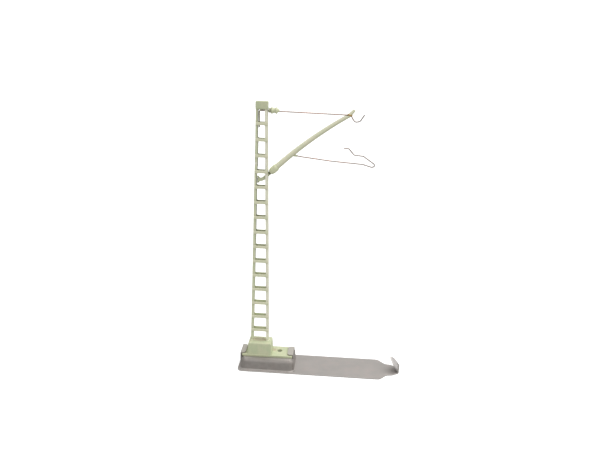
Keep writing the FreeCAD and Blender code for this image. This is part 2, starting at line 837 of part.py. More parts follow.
def make_arm_and_wire_joint():
    """The arm, grooved at its tip for the tie wire, and the solder that fills the groove."""
    bar = make_arm_bar()
    slope = tie_direction()
    start = size("solder_start_reach")
    level = tie_level(start).value
    length = size("solder_groove_length")
    depth = size("solder_groove_depth")
    wire_bore = make_bar("tie_wire_bore", "round", "wire_radius", length, start.value, level, -slope)
    groove = doc.addObject("Part::Box", "solder_groove")
    bind(groove, "Length", length)
    bind(groove, "Width", depth)
    bind(groove, "Height", size("wire_radius") * 2)
    turn = FreeCAD.Rotation(FreeCAD.Vector(0, 1, 0), slope)
    corner = turn.multVec(FreeCAD.Vector(0, 0, -size("wire_radius").value))
    groove.Placement = FreeCAD.Placement(
        FreeCAD.Vector(start.value + corner.x, -depth.value, level + corner.z), turn)
    tool = combine("Fuse", "groove_tool", groove, wire_bore)
    arm = combine("Cut", "grooved_arm", bar, tool)
    finish_subpart(arm, "bracket_arm")
    filling = combine("Common", "groove_filling", bar, groove)
    solder = combine("Cut", "solder_bead", filling, wire_bore)
    finish_subpart(solder, "tip_solder")
    return bar


def make_steady_socket(arm_bar):
    """A short sleeve under the arm that holds the root of the steady wire."""
    angle = -size("socket_angle").value
    x = size("socket_reach").value
    z = size("socket_height").value
    sleeve = make_bar("socket_sleeve", "cone", ("socket_big_radius", "socket_small_radius"),
                      "socket_length", x, z, angle)
    inside = (size("socket_length") * "socket_depth_share").value
    bore = make_bar("socket_bore", "round", "wire_radius", "socket_length",
                    x + inside * math.cos(math.radians(angle)),
                    z + inside * math.sin(math.radians(angle)), angle)
    trimmed = combine("Cut", "trimmed_sleeve", sleeve, arm_bar)
    socket = combine("Cut", "bored_sleeve", trimmed, bore)
    finish_subpart(socket, "steady_socket")


def make_tie_insulator():
    """A grooved insulator bored for the tie wire, with two sheds and two end collars."""
    body = new_body("tie_insulator")
    length = size("tie_insulator_length")
    core = size("tie_core_radius")
    collar = size("tie_collar_radius")
    shed = size("tie_shed_radius")
    half = size("tie_shed_width") / 2
    edge = size("tie_collar_edge")
    bevel = size("tie_shed_bevel")
    shoulder = shed - "tie_shed_shoulder"
    stations = [(0, collar - edge), (edge, collar), (length * 0.07, collar), (length * 0.09, core)]
    for share in (0.27, 0.7):
        middle = length * share
        stations += [(middle - half - edge, core), (middle - half, shoulder, edge),
                     (middle - half + bevel, shed, edge), (middle + half - bevel, shed, edge),
                     (middle + half, shoulder, edge), (middle + half + edge, core)]
    stations += [(length - edge * 2.5, core), (length - edge * 2, collar - edge),
                 (length, collar - edge * 1.5)]
    add_turned_bar(body, "insulator", stations)
    bore = new_sketch(body, "bore_outline", "YZ_Plane", -shed)
    add_circle(bore, 0, 0, "wire_radius")
    add_pocket(body, bore, "bore", length + shed * 2, reverse=True)
    reach = size("tie_insulator_reach")
    place_along(body, reach, tie_level(reach), -tie_direction())


def make_tie_wire():
    """One bent wire: pivot leg, long run to the arm's tip, and the messenger's hook."""
    body = new_body("tie_wire")
    hook_x = size("tie_hook_reach")
    hook_z = size("tie_hook_height")
    pivot = -size("pivot_reach")
    width = size("messenger_hook_width")
    low = hook_z - "messenger_hook_depth"
    route = new_sketch(body, "tie_route", "XZ_Plane")
    add_outline(route, [
        (pivot, "tie_end_height"), (pivot, tie_level(pivot), "wire_bend_radius"),
        (hook_x, hook_z, "tie_hook_bend_radius"),
        (hook_x + width * 0.3, low, "messenger_hook_near_radius"),
        (hook_x + width * 0.69, low + size("wire_radius") * 1.5, "messenger_hook_far_radius"),
        (hook_x + width, hook_z + "wire_radius")], closed=False)
    add_pipe(body, "wire", route, "wire_radius")


def make_steady_wire():
    """One bent wire from the socket out, round the tight return and back to its free end."""
    body = new_body("steady_wire")
    angle = size("socket_angle")
    inside = size("socket_length") * "socket_depth_share"
    start_x = size("socket_reach") + inside * cosine(angle)
    start_z = size("socket_height") - inside * sine(angle)
    lead = size("steady_lead_length")
    route = new_sketch(body, "steady_route", "XZ_Plane")
    add_outline(route, [
        (start_x, start_z),
        (start_x + lead, start_z - tangent(angle) * lead, "steady_lead_radius"),
        ("steady_sag_reach", "steady_sag_height", "steady_sag_radius"),
        ("steady_knee_reach", "steady_knee_height", "steady_knee_radius"),
        ("return_low_reach", "return_low_height", "wire_bend_radius"),
        ("return_tip_reach", "return_tip_height", "return_tip_radius"),
        ("return_rise_reach", "return_rise_height", "wire_bend_radius"),
        ("seat_outer_reach", "seat_outer_height", "seat_outer_radius"),
        ("seat_reach", "seat_height", "seat_radius"),
        ("free_bend_reach", "free_bend_height", "free_bend_radius"),
        ("free_end_reach", "free_end_height")], closed=False)
    add_pipe(body, "wire", route, "wire_radius")


# ---------------------------------------------------------------- assembly

def make_all():
    make_base_plate()
    make_foot_casting()
    make_post("left_post", -1, [])
    tie_hole = tie_level("post_head_half")
    make_post("right_post", 1, [
        ("tail_slot", "slot_low_height", "slot_high_height"),
        ("tie_slot", tie_hole - "tie_slot_half_height", tie_hole + "tie_slot_half_height")])
    for number in range(1, BATTEN_COUNT + 1):
        make_batten(number, "front", -1)
        make_batten(number, "back", 1)
    make_head_cap()
    make_upper_pivot_bush()
    make_lower_pivot_staple()
    make_arm_tail()
    make_arm_insulator()
    arm_bar = make_arm_and_wire_joint()
    make_steady_socket(arm_bar)
    make_tie_insulator()
    make_tie_wire()
    make_steady_wire()


def check_and_write():
    """Stop on any failed object or bad shape, then write one STEP file for each sub-part."""
    doc.recompute()
    for item in doc.Objects:
        if "Invalid" in item.State or "Error" in item.State:
            raise RuntimeError("%s failed: %s" % (item.Label, item.State))
    for item in SUBPARTS:
        shape = item.Shape
        if shape.isNull() or not shape.isValid() or shape.Volume <= 0:
            raise RuntimeError("%s has a bad shape" % item.Label)
    os.makedirs("parts", exist_ok=True)
    for item in SUBPARTS:
        item.Shape.exportStep(os.path.join("parts", item.Label + ".step"))
        box = item.Shape.BoundBox
        print("%-20s %2d solid(s) %9.3f mm3  x %7.2f..%7.2f  y %6.2f..%6.2f  z %7.2f..%7.2f" % (
            item.Label, len(item.Shape.Solids), item.Shape.Volume,
            box.XMin, box.XMax, box.YMin, box.YMax, box.ZMin, box.ZMax))


make_all()
check_and_write()
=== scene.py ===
import json
import math

import bmesh
import bpy
from mathutils import Matrix, Vector, noise


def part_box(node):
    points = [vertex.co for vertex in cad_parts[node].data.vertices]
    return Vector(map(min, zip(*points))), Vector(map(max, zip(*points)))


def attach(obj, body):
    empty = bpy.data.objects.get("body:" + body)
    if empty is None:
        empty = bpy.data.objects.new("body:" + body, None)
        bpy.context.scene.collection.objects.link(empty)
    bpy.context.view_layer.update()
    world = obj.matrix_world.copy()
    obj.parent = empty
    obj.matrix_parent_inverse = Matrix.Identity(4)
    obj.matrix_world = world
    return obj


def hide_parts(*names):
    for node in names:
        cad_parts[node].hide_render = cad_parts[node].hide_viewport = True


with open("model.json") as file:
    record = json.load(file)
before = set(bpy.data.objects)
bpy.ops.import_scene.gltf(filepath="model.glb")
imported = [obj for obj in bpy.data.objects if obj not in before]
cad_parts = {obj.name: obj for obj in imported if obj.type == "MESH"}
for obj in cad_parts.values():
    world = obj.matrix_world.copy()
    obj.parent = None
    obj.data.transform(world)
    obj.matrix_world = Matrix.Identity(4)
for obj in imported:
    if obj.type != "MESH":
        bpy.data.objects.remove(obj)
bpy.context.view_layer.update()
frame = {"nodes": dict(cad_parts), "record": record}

# A model railway's overhead-line mast: green lattice mast and bracket on a clip-on steel base.
# Lengths are in metres unless a name ends in _mm.

MM = 0.001
nodes = frame["nodes"]


# ---------------------------------------------------------------- camera, lights, floor

CAMERA_PLACE_MM = (-7.50, -201.70, 119.66)
CAMERA_TURN = 3.477
CAMERA_DIP = 16.906
CAMERA_ROLL = 1.700
CAMERA_LENS = 33.73
SENSOR_WIDTH = 36.0
CAMERA_NEAR = 0.001
CAMERA_FAR = 50

WORLD_TINT = (1.0, 0.995, 0.985, 1)
WORLD_LIGHT = 0.45
# name, strength, angular width in degrees, direction in which it shines
SUNS = [("key_light", 1.6, 55, (-0.25, -0.1, -1)),
        ("side_light", 0.6, 70, (-1.0, 0.25, -0.45)),
        ("front_light", 0.5, 60, (-0.1, 0.9, -0.45))]
FLOOR_RADIUS = 4.0
FLOOR_SIDES = 96
FLOOR_TINT = (0.86, 0.86, 0.855, 1)
FLOOR_GLOW = 0.5
DOME_RADIUS = 6.0
DOME_SIDES = 48
DOME_GLOW = 1.05
WHITE = (1, 1, 1, 1)


def make_camera():
    """The camera stands in front of the mast, turned a little left, dipped and rolled."""
    turn, dip, roll = (math.radians(a) for a in (CAMERA_TURN, CAMERA_DIP, CAMERA_ROLL))
    level = Vector((-math.sin(turn), math.cos(turn), 0))
    side = Vector((math.cos(turn), math.sin(turn), 0))
    ahead = level * math.cos(dip) - Vector((0, 0, 1)) * math.sin(dip)
    over = level * math.sin(dip) + Vector((0, 0, 1)) * math.cos(dip)
    right = side * math.cos(roll) + over * math.sin(roll)
    up = over * math.cos(roll) - side * math.sin(roll)
    data = bpy.data.cameras.new("camera")
    data.lens = CAMERA_LENS
    data.sensor_width = SENSOR_WIDTH
    data.clip_start = CAMERA_NEAR
    data.clip_end = CAMERA_FAR
    camera = bpy.data.objects.new("camera", data)
    bpy.context.scene.collection.objects.link(camera)
    axes = Matrix((right, up, -ahead)).transposed().to_4x4()
    camera.matrix_world = Matrix.Translation(Vector(CAMERA_PLACE_MM) * MM) @ axes
    bpy.context.scene.camera = camera


def add_sun(name, strength, spread, direction):
    """A wide, soft light that shines along a direction."""
    data = bpy.data.lights.new(name, "SUN")
    data.energy = strength
    data.angle = math.radians(spread)
    lamp = bpy.data.objects.new(name, data)
    lamp.rotation_euler = Vector(direction).to_track_quat("-Z", "Y").to_euler()
    bpy.context.scene.collection.objects.link(lamp)


def make_lights():
    """An even pale surrounding and three soft suns."""
    world = bpy.data.worlds.new("studio")
    world.use_nodes = True
    sky = world.node_tree.nodes["Background"]
    sky.inputs["Color"].default_value = WORLD_TINT
    sky.inputs["Strength"].default_value = WORLD_LIGHT
    bpy.context.scene.world = world
    for name, strength, spread, direction in SUNS:
        add_sun(name, strength, spread, direction)
    bpy.context.scene.view_settings.view_transform = "Standard"


def add_mesh(name, build):
    """A new object whose mesh the given function builds with bmesh."""
    mesh = bpy.data.meshes.new(name)
    shape = bmesh.new()
    build(shape)
    shape.to_mesh(mesh)
    shape.free()
    made = bpy.data.objects.new(name, mesh)
    bpy.context.scene.collection.objects.link(made)
    return made


def make_stage():
    """A pale floor under the part, and a white dome that only the camera sees."""
    floor = add_mesh("floor", lambda shape: bmesh.ops.create_circle(
        shape, cap_ends=True, segments=FLOOR_SIDES, radius=FLOOR_RADIUS))
    g = Graph("floor_card")
    shader = g.node("BsdfPrincipled", Base_Color=FLOOR_TINT, Roughness=0.7,
                    Emission_Color=WHITE, Emission_Strength=FLOOR_GLOW)
    g.finish(shader)
    floor.data.materials.append(g.material)
    floor.visible_diffuse = False
    floor.visible_glossy = False
    dome = add_mesh("dome", lambda shape: bmesh.ops.create_uvsphere(
        shape, u_segments=DOME_SIDES, v_segments=DOME_SIDES // 2, radius=DOME_RADIUS))
    g = Graph("dome_white")
    g.finish(g.node("Emission", Color=WHITE, Strength=DOME_GLOW))
    dome.data.materials.append(g.material)
    for ray in ("diffuse", "glossy", "transmission", "volume_scatter", "shadow"):
        setattr(dome, "visible_" + ray, False)


# ---------------------------------------------------------------- material graphs

# the span that most of a noise texture's values lie in
NOISE_LOW = 0.3
NOISE_HIGH = 0.7
# grains: repeats per millimetre, detail, grit and stretch of a noise texture
RAGGED_GRAIN = (1.6, 3, 0.6)
RAGGED_SIZE = 0.9
# how far a painted shadow line where faces meet reaches, and the closeness at which it starts and
# is full
SEAM_REACH_MM = 0.2
SEAM_OPEN = 0.35
SEAM_DEEP = 0.8
CLOSENESS_SAMPLES = 6
ROUNDING_SAMPLES = 4


class Graph:
    """A material whose nodes are added one after another; lengths are in millimetres."""

    def __init__(self, name):
        self.material = bpy.data.materials.new(name)
        self.material.use_nodes = True
        self.tree = self.material.node_tree
        self.tree.nodes.clear()

    def plug(self, socket, value):
        if isinstance(value, bpy.types.NodeSocket):
            self.tree.links.new(value, socket)
        else:
            socket.default_value = value

    def node(self, kind, out=0, settings=None, **inputs):
        """Add a node, set or join its inputs by name, and give one of its outputs."""
        made = self.tree.nodes.new("ShaderNode" + kind)
        for name, value in (settings or {}).items():
            setattr(made, name, value)
        for name, value in inputs.items():
            self.plug(made.inputs[name.replace("_", " ")], value)
        return made.outputs[out]

    def math(self, operation, first, second=0.0):
        made = self.tree.nodes.new("ShaderNodeMath")
        made.operation = operation
        self.plug(made.inputs[0], first)
        self.plug(made.inputs[1], second)
        return made.outputs[0]

    def place(self, stretch=(1, 1, 1)):
        """Position on the object in millimetres, stretched along its axes."""
        spot = self.node("TexCoord", out="Object")
        return self.node("Mapping", Vector=spot, Scale=[s / MM for s in stretch])

    def noise(self, per_mm, detail=3.0, grit=0.55, stretch=(1, 1, 1)):
        return self.node("TexNoise", Vector=self.place(stretch), Scale=per_mm, Detail=detail,
                         Roughness=grit)

    def ramp(self, value, low, high, to_low=0.0, to_high=1.0):
        return self.node("MapRange", settings={"clamp": True}, Value=value, From_Min=low,
                         From_Max=high, To_Min=to_low, To_Max=to_high)

    def vary(self, value, least, most):
        """A noise value stretched from its usual span to the given one."""
        return self.ramp(value, NOISE_LOW, NOISE_HIGH, least, most)

    def mix(self, share, first, second, kind="MIX"):
        made = self.tree.nodes.new("ShaderNodeMixRGB")
        made.blend_type = kind
        self.plug(made.inputs["Fac"], share)
        self.plug(made.inputs["Color1"], first)
        self.plug(made.inputs["Color2"], second)
        return made.outputs[0]

    def layer(self, base, mask, share, tint):
        """The base, tinted by the given share where the mask is 1."""
        return self.mix(self.math("MULTIPLY", mask, share), base, tint)

    def spot(self, centre_mm, reach_mm, soft):
        """1 inside an uneven patch round a place on the object, fading out at its rim."""
        shifted = self.node("Mapping", Vector=self.place(), Location=[
            -c / r for c, r in zip(centre_mm, reach_mm)], Scale=[1 / r for r in reach_mm])
        gap = self.tree.nodes.new("ShaderNodeVectorMath")
        gap.operation = "LENGTH"
        self.plug(gap.inputs[0], shifted)
        ragged = self.math("MULTIPLY", self.noise(*RAGGED_GRAIN), RAGGED_SIZE)
        ragged = self.math("SUBTRACT", ragged, RAGGED_SIZE / 2)
        far = self.math("ADD", gap.outputs["Value"], ragged)
        return self.math("SUBTRACT", 1.0, self.ramp(far, 1.0 - soft, 1.0))

    def patched(self, base, tinted_patches):
        """The base with each of a list of tinted patches on it."""
        for centre, reach, soft, share, tint in tinted_patches:
            base = self.layer(base, self.spot(centre, reach, soft), share, tint)
        return base

    def along(self, axis):
        """Place along an axis of the object in millimetres."""
        return self.node("SeparateXYZ", out=axis, Vector=self.place())

    def above(self, low_mm, high_mm):
        """0 at the first height, 1 at the second."""
        return self.ramp(self.along("Z"), low_mm, high_mm)

    def facing(self, axis, low, high):
        """0 where the surface's normal has the first value along an axis, 1 at the second."""
        normal = self.node("TexCoord", out="Normal")
        return self.ramp(self.node("SeparateXYZ", out=axis, Vector=normal), low, high)

    def edges(self, reach_mm):
        """1 on outer edges, 0 on faces."""
        return self.math("SUBTRACT", 1.0, self.node(
            "AmbientOcclusion", out="AO", Distance=reach_mm * MM,
            settings={"inside": True, "samples": CLOSENESS_SAMPLES}))

    def corners(self, reach_mm):
        """1 deep in inner corners, 0 in the open."""
        return self.math("SUBTRACT", 1.0, self.node(
            "AmbientOcclusion", out="AO", Distance=reach_mm * MM,
            settings={"samples": CLOSENESS_SAMPLES}))

    def seam_shadows(self, base, share):
        """The base with painted shadow lines where faces meet."""
        line = self.ramp(self.corners(SEAM_REACH_MM), SEAM_OPEN, SEAM_DEEP, 0.0, share)
        return self.mix(line, base, SEAM_SHADOW)

    def soft_normal(self, radius_mm):
        return self.node("Bevel", settings={"samples": ROUNDING_SAMPLES}, Radius=radius_mm * MM)

    def bump(self, height, depth_mm, normal):
        return self.node("Bump", Height=height, Distance=depth_mm * MM, Strength=1.0,
                         Normal=normal)

    def finish(self, shader):
        output = self.tree.nodes.new("ShaderNodeOutputMaterial")
        self.tree.links.new(shader, output.inputs["Surface"])


def colour(red, green, blue):
    """A colour given in 0 to 255 display values."""
    def linear(v):
        v = v / 255
        return v / 12.92 if v <= 0.04045 else ((v + 0.055) / 1.055) ** 2.4
    return (linear(red), linear(green), linear(blue), 1.0)


PAINT_COOL = colour(203, 212, 175)
PAINT_WARM = colour(213, 216, 181)
# tints of the lighter, lit copies of the paint: painted light
LIT_LOW_COOL = colour(216, 224, 188)
LIT_LOW_WARM = colour(224, 226, 194)
LIT_MID_COOL = colour(230, 234, 201)
LIT_MID_WARM = colour(238, 236, 206)
LIT_HIGH_COOL = colour(244, 245, 220)
LIT_HIGH_WARM = colour(248, 246, 225)
PAINT_THIN = colour(230, 228, 198)
PAINT_DEEP_SHADE = colour(128, 126, 94)
PAINT_CHIP = colour(226, 216, 190)
PAINT_TOP_HIGHLIGHT = colour(250, 246, 226)
PAINT_SHADE = colour(122, 124, 100)
SEAM_SHADOW = colour(66, 62, 48)
MOULDING_COOL = colour(216, 222, 183)
MOULDING_WARM = colour(228, 229, 195)
STEEL_COOL = colour(182, 178, 174)
STEEL_WARM = colour(190, 184, 180)
STEEL_BLUSH = colour(198, 183, 177)
STEEL_SPECK = colour(150, 144, 140)
STEEL_BRIGHT = colour(210, 206, 196)
STEEL_EDGE = colour(226, 222, 218)
STEEL_CORNER_SHADE = colour(100, 94, 90)
STEEL_WALL_SHADE = colour(134, 128, 122)
WIRE_COPPER = colour(204, 174, 162)
WIRE_GREY = colour(180, 170, 164)
WIRE_PAINTED = colour(150, 146, 100)
SOLDER_GOLD = colour(198, 166, 104)
SOLDER_BROWN = colour(158, 130, 84)
SOLDER_PALE = colour(214, 196, 150)
# tinted patches, some of them real marks and some painted shade, shadows and highlights: centre and
# reach in millimetres, softness of the rim, share, tint
PAINT_PATCHES_AND_SHADE = [
    # a tan patch on the pedestal's top between the posts
    ((-34.5, 0.0, 10.7), (3.5, 2.1, 0.6), 0.4, 0.75, colour(184, 174, 146)),
    # a tan patch on the foot plate beside the pedestal
    ((-28.6, 0.9, 5.8), (1.4, 1.7, 0.5), 0.8, 0.75, colour(190, 176, 150)),
    # painted shadow in the recess between the right post and the arm's insulator
    ((-31.4, -0.5, 78.9), (0.7, 0.9, 1.1), 0.5, 0.9, colour(66, 70, 44)),
    # painted shade low on the foot plate's front face
    ((-31.0, -4.6, 5.15), (12.5, 0.8, 0.5), 0.5, 0.35, colour(120, 122, 92)),
    # a pale chip in the paint of the left post
    ((-36.5, -1.0, 82.1), (0.35, 0.5, 0.5), 0.4, 0.9, colour(244, 240, 228))]
STEEL_PAINTED_LIGHT = [
    # painted shadow along the pan's top in front of the foot plate
    ((-31.0, -4.9, 4.9), (12.5, 1.3, 0.8), 0.6, 0.4, colour(104, 98, 90)),
    # painted shade on the pan's right front corner
    ((-20.2, -5.6, 2.2), (0.9, 1.2, 2.6), 0.6, 0.6, colour(104, 98, 94)),
    # painted shadow under the foot plate's left front corner
    ((-41.4, -4.5, 5.2), (0.8, 1.3, 0.6), 0.5, 0.8, colour(62, 58, 52)),
    # painted shadow under the foot plate's right front corner
    ((-20.7, -4.5, 5.4), (0.8, 1.3, 0.6), 0.5, 0.8, colour(70, 66, 60)),
    # painted highlight on the hook at the tongue's end
    ((21.2, -0.4, 5.6), (6.0, 6.0, 4.2), 0.35, 0.7, colour(236, 232, 230)),
    # painted shade in the fold at the hook's foot
    ((21.4, -0.9, 0.7), (1.9, 1.5, 1.1), 0.8, 0.7, colour(96, 91, 88))]


PAINT_PATCH_GRAIN = (0.45, 3)
PAINT_BRUSH_GRAIN = (1.4, 3, 0.6, (1.0, 1.0, 0.25))
PAINT_SPECKLE_GRAIN = (11, 2)
PAINT_HIGHLIGHT_PATCH_GRAIN = (0.8, 3)
PAINT_WEAR_GRAIN = (1.3, 3)
PAINT_CORNER_SHADE_GRAIN = (0.9, 3)
PAINT_CHIP_GRAIN = (2.4, 4, 0.7)
PAINT_GLOSS_GRAIN = (3.1, 3)
PAINT_WAVE_GRAIN = (0.9, 2)
PAINT_PEEL_GRAIN = (6.5, 3)
PAINT_RIM_MM = 0.08
# how far the painted shade in inner corners reaches
CORNER_SHADE_REACH_MM = 0.8
PAINT_ROUNDING_MM = 0.05
PAINT_WAVE_MM = 0.012
PAINT_PEEL_MM = 0.005
# where the painted shade on the back battens' inner faces and the left post's inner side starts and
# is full
BEHIND_SHARE = 0.6
BEHIND_DEPTHS_MM = (0.2, 0.5)
BEHIND_HEIGHTS_MM = (25, 70)
INWARD_SHARE = 0.95
INWARD_HEIGHTS_MM = (24, 62)
LEFT_POST_MM = (-34.7, -35.3)


def make_green_paint(name, cool, warm, light_from_above):
    """Satin grey-green paint: uneven, thin and pale on edges, with painted shade in corners,
    painted shadow lines where faces meet, and tinted patches.

    The last argument sets how strongly upper faces carry a painted highlight and lower faces a
    painted shade. High on the mast the back battens' inner faces and the left post's inner side
    get painted shade.
    """
    g = Graph(name)
    patches = g.ramp(g.noise(*PAINT_PATCH_GRAIN), 0.38, 0.64)
    base = g.mix(patches, cool, warm)
    base = g.mix(1.0, base, g.vary(g.noise(*PAINT_BRUSH_GRAIN), 0.96, 1.03), "MULTIPLY")
    base = g.mix(1.0, base, g.vary(g.noise(*PAINT_SPECKLE_GRAIN), 0.95, 1.04), "MULTIPLY")
    # painted light from above: a patchy painted highlight on upward faces, painted shade on
    # downward ones
    highlight_patchiness = g.vary(g.noise(*PAINT_HIGHLIGHT_PATCH_GRAIN), 0.5, 1)
    lit_tops = g.math("MULTIPLY", g.facing("Z", 0.1, 0.6), highlight_patchiness)
    base = g.layer(base, lit_tops, light_from_above, PAINT_TOP_HIGHLIGHT)
    base = g.layer(base, g.facing("Z", 0.0, -0.7), light_from_above / 2, PAINT_DEEP_SHADE)
    rim = g.edges(PAINT_RIM_MM)
    wear = g.ramp(g.noise(*PAINT_WEAR_GRAIN), 0.35, 0.65, 0.15, 0.6)
    base = g.layer(base, rim, wear, PAINT_THIN)
    # painted shade in inner corners, patchy
    corner_shade_share = g.vary(g.noise(*PAINT_CORNER_SHADE_GRAIN), 0.3, 0.75)
    base = g.layer(base, g.corners(CORNER_SHADE_REACH_MM), corner_shade_share, PAINT_DEEP_SHADE)
    base = g.seam_shadows(base, 0.8)
    base = g.patched(base, PAINT_PATCHES_AND_SHADE)
    # painted shade on the back battens' inner faces and the left post's inner side, high on the
    # mast
    deep = g.ramp(g.along("Y"), *BEHIND_DEPTHS_MM)
    behind = g.math("MULTIPLY", g.facing("Y", -0.5, -0.9), deep)
    behind = g.math("MULTIPLY", behind, g.above(*BEHIND_HEIGHTS_MM))
    base = g.layer(base, behind, BEHIND_SHARE, PAINT_SHADE)
    inward = g.math("MULTIPLY", g.facing("X", 0.5, 0.9), g.above(*INWARD_HEIGHTS_MM))
    inward = g.math("MULTIPLY", inward, g.ramp(g.along("X"), *LEFT_POST_MM))
    base = g.layer(base, inward, INWARD_SHARE, PAINT_SHADE)
    chips = g.ramp(g.math("MULTIPLY", rim, g.noise(*PAINT_CHIP_GRAIN)), 0.36, 0.42)
    base = g.mix(chips, base, PAINT_CHIP)
    rough = g.vary(g.noise(*PAINT_GLOSS_GRAIN), 0.4, 0.58)
    rough = g.math("ADD", rough, g.math("MULTIPLY", chips, -0.12))
    normal = g.soft_normal(PAINT_ROUNDING_MM)
    normal = g.bump(g.noise(*PAINT_WAVE_GRAIN), PAINT_WAVE_MM, normal)
    normal = g.bump(g.noise(*PAINT_PEEL_GRAIN), PAINT_PEEL_MM, normal)
    g.finish(g.node("BsdfPrincipled", Base_Color=base, Roughness=rough, Normal=normal,
                    IOR=1.48))
    return g.material


STEEL_CLOUD_GRAIN = (0.16, 4, 0.6)
STEEL_BLUSH_GRAIN = (0.3, 2)
STEEL_ROLL_GRAIN = (1.0, 3, 0.6, (0.12, 5.0, 5.0))
STEEL_SPECK_GRAIN = (5.5, 3, 0.7)
STEEL_WALL_GRAIN = (0.7, 3)
STEEL_EDGE_MM = 0.12
STEEL_METAL = 0.55
STEEL_ROUNDING_MM = 0.06
STEEL_ROLL_MM = 0.003
STEEL_WAVE_MM = 0.03
# heights at which the bright tabs, the painted shade on the walls and the bright underside start
# and are full
TAB_HEIGHTS_MM = (5.3, 6.0)
WALL_HEIGHTS_MM = (0.55, 0.8)
UNDER_HEIGHTS_MM = (0.42, 0.3)


def make_bare_steel():
    """Pressed sheet steel rolled along the tongue, bright on tabs, with painted shade on walls and
    in corners.
    """
    g = Graph("bare_steel_sheet")
    clouds = g.ramp(g.noise(*STEEL_CLOUD_GRAIN), 0.32, 0.7)
    base = g.mix(clouds, STEEL_COOL, STEEL_WARM)
    base = g.mix(g.ramp(g.noise(*STEEL_BLUSH_GRAIN), 0.5, 0.75, 0.0, 0.3), base, STEEL_BLUSH)
    streaks = g.noise(*STEEL_ROLL_GRAIN)
    base = g.mix(1.0, base, g.vary(streaks, 0.97, 1.03), "MULTIPLY")
    base = g.mix(g.ramp(g.noise(*STEEL_SPECK_GRAIN), 0.62, 0.72, 0.0, 0.25), base, STEEL_SPECK)
    base = g.layer(base, g.above(*TAB_HEIGHTS_MM), 0.8, STEEL_BRIGHT)
    wall = g.math("MULTIPLY", g.facing("Z", 0.99, 0.86), g.above(*WALL_HEIGHTS_MM))
    base = g.layer(base, wall, g.vary(g.noise(*STEEL_WALL_GRAIN), 0.42, 0.62), STEEL_WALL_SHADE)
    # edges lighter: burnished metal, and a painted highlight
    base = g.layer(base, g.edges(STEEL_EDGE_MM), 0.45, STEEL_EDGE)
    base = g.layer(base, g.above(*UNDER_HEIGHTS_MM), 0.75, STEEL_EDGE)
    # painted shade in inner corners
    base = g.layer(base, g.corners(CORNER_SHADE_REACH_MM), 0.4, STEEL_CORNER_SHADE)
    base = g.seam_shadows(base, 0.85)
    base = g.patched(base, STEEL_PAINTED_LIGHT)
    rough = g.vary(streaks, 0.44, 0.56)
    rough = g.math("ADD", rough, g.math("MULTIPLY", clouds, 0.05))
    normal = g.soft_normal(STEEL_ROUNDING_MM)
    normal = g.bump(streaks, STEEL_ROLL_MM, normal)
    normal = g.bump(g.noise(*STEEL_BLUSH_GRAIN), STEEL_WAVE_MM, normal)
    g.finish(g.node("BsdfPrincipled", Base_Color=base, Metallic=STEEL_METAL, Roughness=rough,
                    Normal=normal))
    return g.material


WIRE_WEAR_GRAIN = (0.32, 3)
WIRE_DRAWN_GRAIN = (4.0, 3, 0.6, (0.3, 3.0, 3.0))
WIRE_METAL = 0.9
WIRE_ROUNDING_MM = 0.02
WIRE_DRAWN_MM = 0.003
# places along X where the greyed hooks and the painted bent-down end start and are full
HOOKS_MM = (-4.0, -1.0)
BENT_END_MM = (-34.4, -35.2)


def make_copper_wire():
    """Drawn wire with a worn copper coat: pink where it ran straight, grey where it was bent."""
    g = Graph("copper_wire_worn")
    wear = g.ramp(g.noise(*WIRE_WEAR_GRAIN), 0.4, 0.62)
    along = g.along("X")
    wear = g.math("MAXIMUM", wear, g.ramp(along, *HOOKS_MM))
    base = g.mix(wear, WIRE_COPPER, WIRE_GREY)
    base = g.mix(g.ramp(along, *BENT_END_MM), base, WIRE_PAINTED)
    grain = g.noise(*WIRE_DRAWN_GRAIN)
    base = g.mix(1.0, base, g.vary(grain, 0.88, 1.05), "MULTIPLY")
    normal = g.bump(grain, WIRE_DRAWN_MM, g.soft_normal(WIRE_ROUNDING_MM))
    g.finish(g.node("BsdfPrincipled", Base_Color=base, Metallic=WIRE_METAL,
                    Roughness=g.vary(grain, 0.3, 0.46), Normal=normal))
    return g.material


MOULDING_CLOUD_GRAIN = (0.9, 3)
MOULDING_SKIN_GRAIN = (5.0, 2)
MOULDING_GLOSS_GRAIN = (2.0, 2)
MOULDING_RIDGE_MM = 0.15
MOULDING_CORNER_MM = 0.5
MOULDING_SKIN_MM = 0.004
MOULDING_ROUNDING_MM = 0.05
# where the darker band on the upper insulator starts and is full
SLEEVE_MM = (-30.85, -31.1)
SLEEVE_HEIGHTS_MM = (95, 96)


def make_green_moulding():
    """The insulators: smoother and glossier than the mast, yellower, with worn ridges."""
    g = Graph("green_moulding_gloss")
    clouds = g.ramp(g.noise(*MOULDING_CLOUD_GRAIN), 0.35, 0.65)
    base = g.mix(clouds, MOULDING_COOL, MOULDING_WARM)
    base = g.layer(base, g.edges(MOULDING_RIDGE_MM), 0.7, PAINT_THIN)
    # painted shade in inner corners
    base = g.layer(base, g.corners(MOULDING_CORNER_MM), 0.75, PAINT_DEEP_SHADE)
    sleeve = g.math("MULTIPLY", g.ramp(g.along("X"), *SLEEVE_MM), g.above(*SLEEVE_HEIGHTS_MM))
    base = g.layer(base, sleeve, 0.5, PAINT_SHADE)
    skin = g.noise(*MOULDING_SKIN_GRAIN)
    normal = g.bump(skin, MOULDING_SKIN_MM, g.soft_normal(MOULDING_ROUNDING_MM))
    rough = g.vary(g.noise(*MOULDING_GLOSS_GRAIN), 0.28, 0.42)
    g.finish(g.node("BsdfPrincipled", Base_Color=base, Roughness=rough, Normal=normal))
    return g.material


SOLDER_TONE_GRAIN = (2.2, 3)
SOLDER_LUMP_GRAIN = (4.0, 3)
SOLDER_GLOSS_GRAIN = (3.0, 2)
SOLDER_RIM_MM = 0.2
SOLDER_LUMP_MM = 0.02
SOLDER_ROUNDING_MM = 0.03
SOLDER_METAL = 0.4


